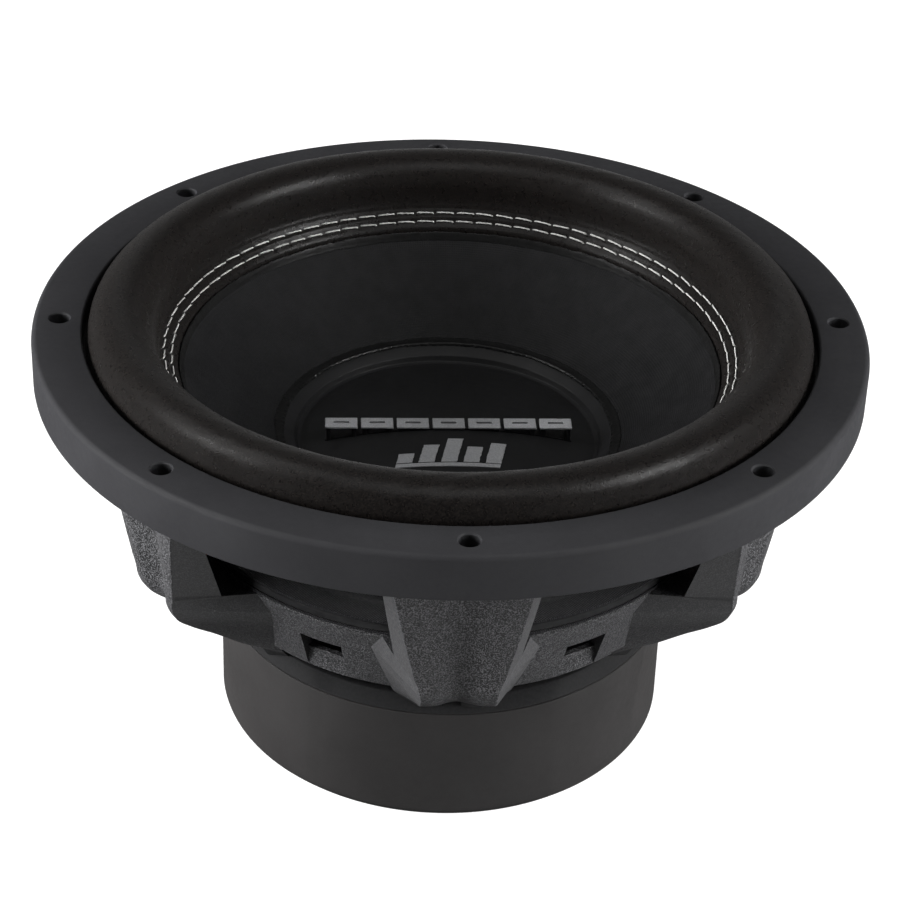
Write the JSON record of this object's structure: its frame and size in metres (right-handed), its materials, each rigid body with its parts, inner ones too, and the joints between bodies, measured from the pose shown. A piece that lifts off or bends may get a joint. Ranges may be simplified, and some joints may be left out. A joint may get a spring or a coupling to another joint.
{
  "type": "car subwoofer speaker",
  "caption": "Round car subwoofer driver: rubber bezel, tall foam surround, stitched deep cone, shallow dust cap, legged cast basket, booted magnet motor and push terminals.",
  "frame": {"origin": "centre of the underside of the magnet boot, on the speaker's axis", "axes": "+Z out of the cone, away from the magnet; -Y towards the front, through one screw hole and one basket leg; +X to the right, through one terminal block"},
  "size_m": [0.32, 0.32, 0.1833],
  "materials": {
    "powder_coat": "coarse textured black powder coat on a die casting",
    "bezel_rubber": "smooth matte moulded rubber",
    "boot_rubber": "smooth matte moulded rubber",
    "foam": "fine-pored foam skin with a soft sheen",
    "cone_paper": "black ribbed pulp",
    "cap_coating": "smooth matte black",
    "black_glue": "glossy black adhesive",
    "thread": "light grey sewing thread",
    "silver_paint": "satin silver-grey paint",
    "former_aluminium": "thin rolled sheet",
    "shorting_aluminium": "turned sleeve",
    "copper_wire": "enamelled copper wire, wound",
    "spider_cloth": "resin-stiffened woven cloth",
    "black_plastic": "moulded, fine texture",
    "red_plastic": "moulded",
    "motor_steel": "turned low-carbon steel, plated",
    "ferrite": "ground ferrite",
    "screw_steel": "zinc-plated steel",
    "spring_steel": "drawn spring wire",
    "brass": "stamped strip",
    "tinsel_braid": "flexible woven copper braid"
  },
  "bodies": {
    "frame": {"basket": "powder_coat", "trim_ring": "bezel_rubber", "surround": "foam", "spider_upper": "spider_cloth", "spider_lower": "spider_cloth", "spider_spacer_ring": "black_plastic", "top_plate": "motor_steel", "magnet_upper": "ferrite", "magnet_lower": "ferrite", "back_plate": "motor_steel", "shorting_ring": "shorting_aluminium", "vent_screen": "black_plastic", "magnet_boot": "boot_rubber", "motor_screw_1": "screw_steel", "motor_screw_2": "screw_steel", "motor_screw_3": "screw_steel", "motor_screw_4": "screw_steel", "motor_screw_5": "screw_steel", "motor_screw_6": "screw_steel", "terminal_block_left": "black_plastic", "terminal_screw_left_front": "screw_steel", "terminal_screw_left_back": "screw_steel", "terminal_contact_left_positive": "brass", "button_spring_left_positive": "spring_steel", "tinsel_lead_left_positive": "tinsel_braid", "terminal_contact_left_negative": "brass", "button_spring_left_negative": "spring_steel", "tinsel_lead_left_negative": "tinsel_braid", "terminal_block_right": "black_plastic", "terminal_screw_right_front": "screw_steel", "terminal_screw_right_back": "screw_steel", "terminal_contact_right_positive": "brass", "button_spring_right_positive": "spring_steel", "tinsel_lead_right_positive": "tinsel_braid", "terminal_contact_right_negative": "brass", "button_spring_right_negative": "spring_steel", "tinsel_lead_right_negative": "tinsel_braid"},
    "cone_assembly": {"cone": "cone_paper", "dust_cap": "cap_coating", "cap_badge": "silver_paint", "cap_mark": "silver_paint", "surround_glue_bead": "black_glue", "cap_glue_bead": "black_glue", "neck_glue_collar": "black_glue", "stitch_row_outer": "thread", "stitch_row_inner": "thread", "coil_former": "former_aluminium", "coil_winding_inner": "copper_wire", "coil_winding_outer": "copper_wire"},
    "button_left_positive": {"terminal_button_left_positive": "red_plastic"},
    "button_left_negative": {"terminal_button_left_negative": "black_plastic"},
    "button_right_positive": {"terminal_button_right_positive": "red_plastic"},
    "button_right_negative": {"terminal_button_right_negative": "black_plastic"}
  },
  "joints": [
    {"name": "cone_travel", "type": "slide", "parent": "frame", "child": "cone_assembly", "axis": [0, 0, 1], "range_m": [-0.015, 0.015], "stiffness_N_per_m": 6000, "deforming": ["surround", "spider_lower", "spider_upper", "tinsel_lead_left_positive", "tinsel_lead_left_negative", "tinsel_lead_right_positive", "tinsel_lead_right_negative"]},
    {"name": "press_left_positive", "type": "slide", "parent": "frame", "child": "button_left_positive", "axis": [0, 0, -1], "range_m": [0, 0.003], "stiffness_N_per_m": 300, "deforming": ["button_spring_left_positive"]},
    {"name": "press_left_negative", "type": "slide", "parent": "frame", "child": "button_left_negative", "axis": [0, 0, -1], "range_m": [0, 0.003], "stiffness_N_per_m": 300, "deforming": ["button_spring_left_negative"]},
    {"name": "press_right_positive", "type": "slide", "parent": "frame", "child": "button_right_positive", "axis": [0, 0, -1], "range_m": [0, 0.003], "stiffness_N_per_m": 300, "deforming": ["button_spring_right_positive"]},
    {"name": "press_right_negative", "type": "slide", "parent": "frame", "child": "button_right_negative", "axis": [0, 0, -1], "range_m": [0, 0.003], "stiffness_N_per_m": 300, "deforming": ["button_spring_right_negative"]}
  ]
}
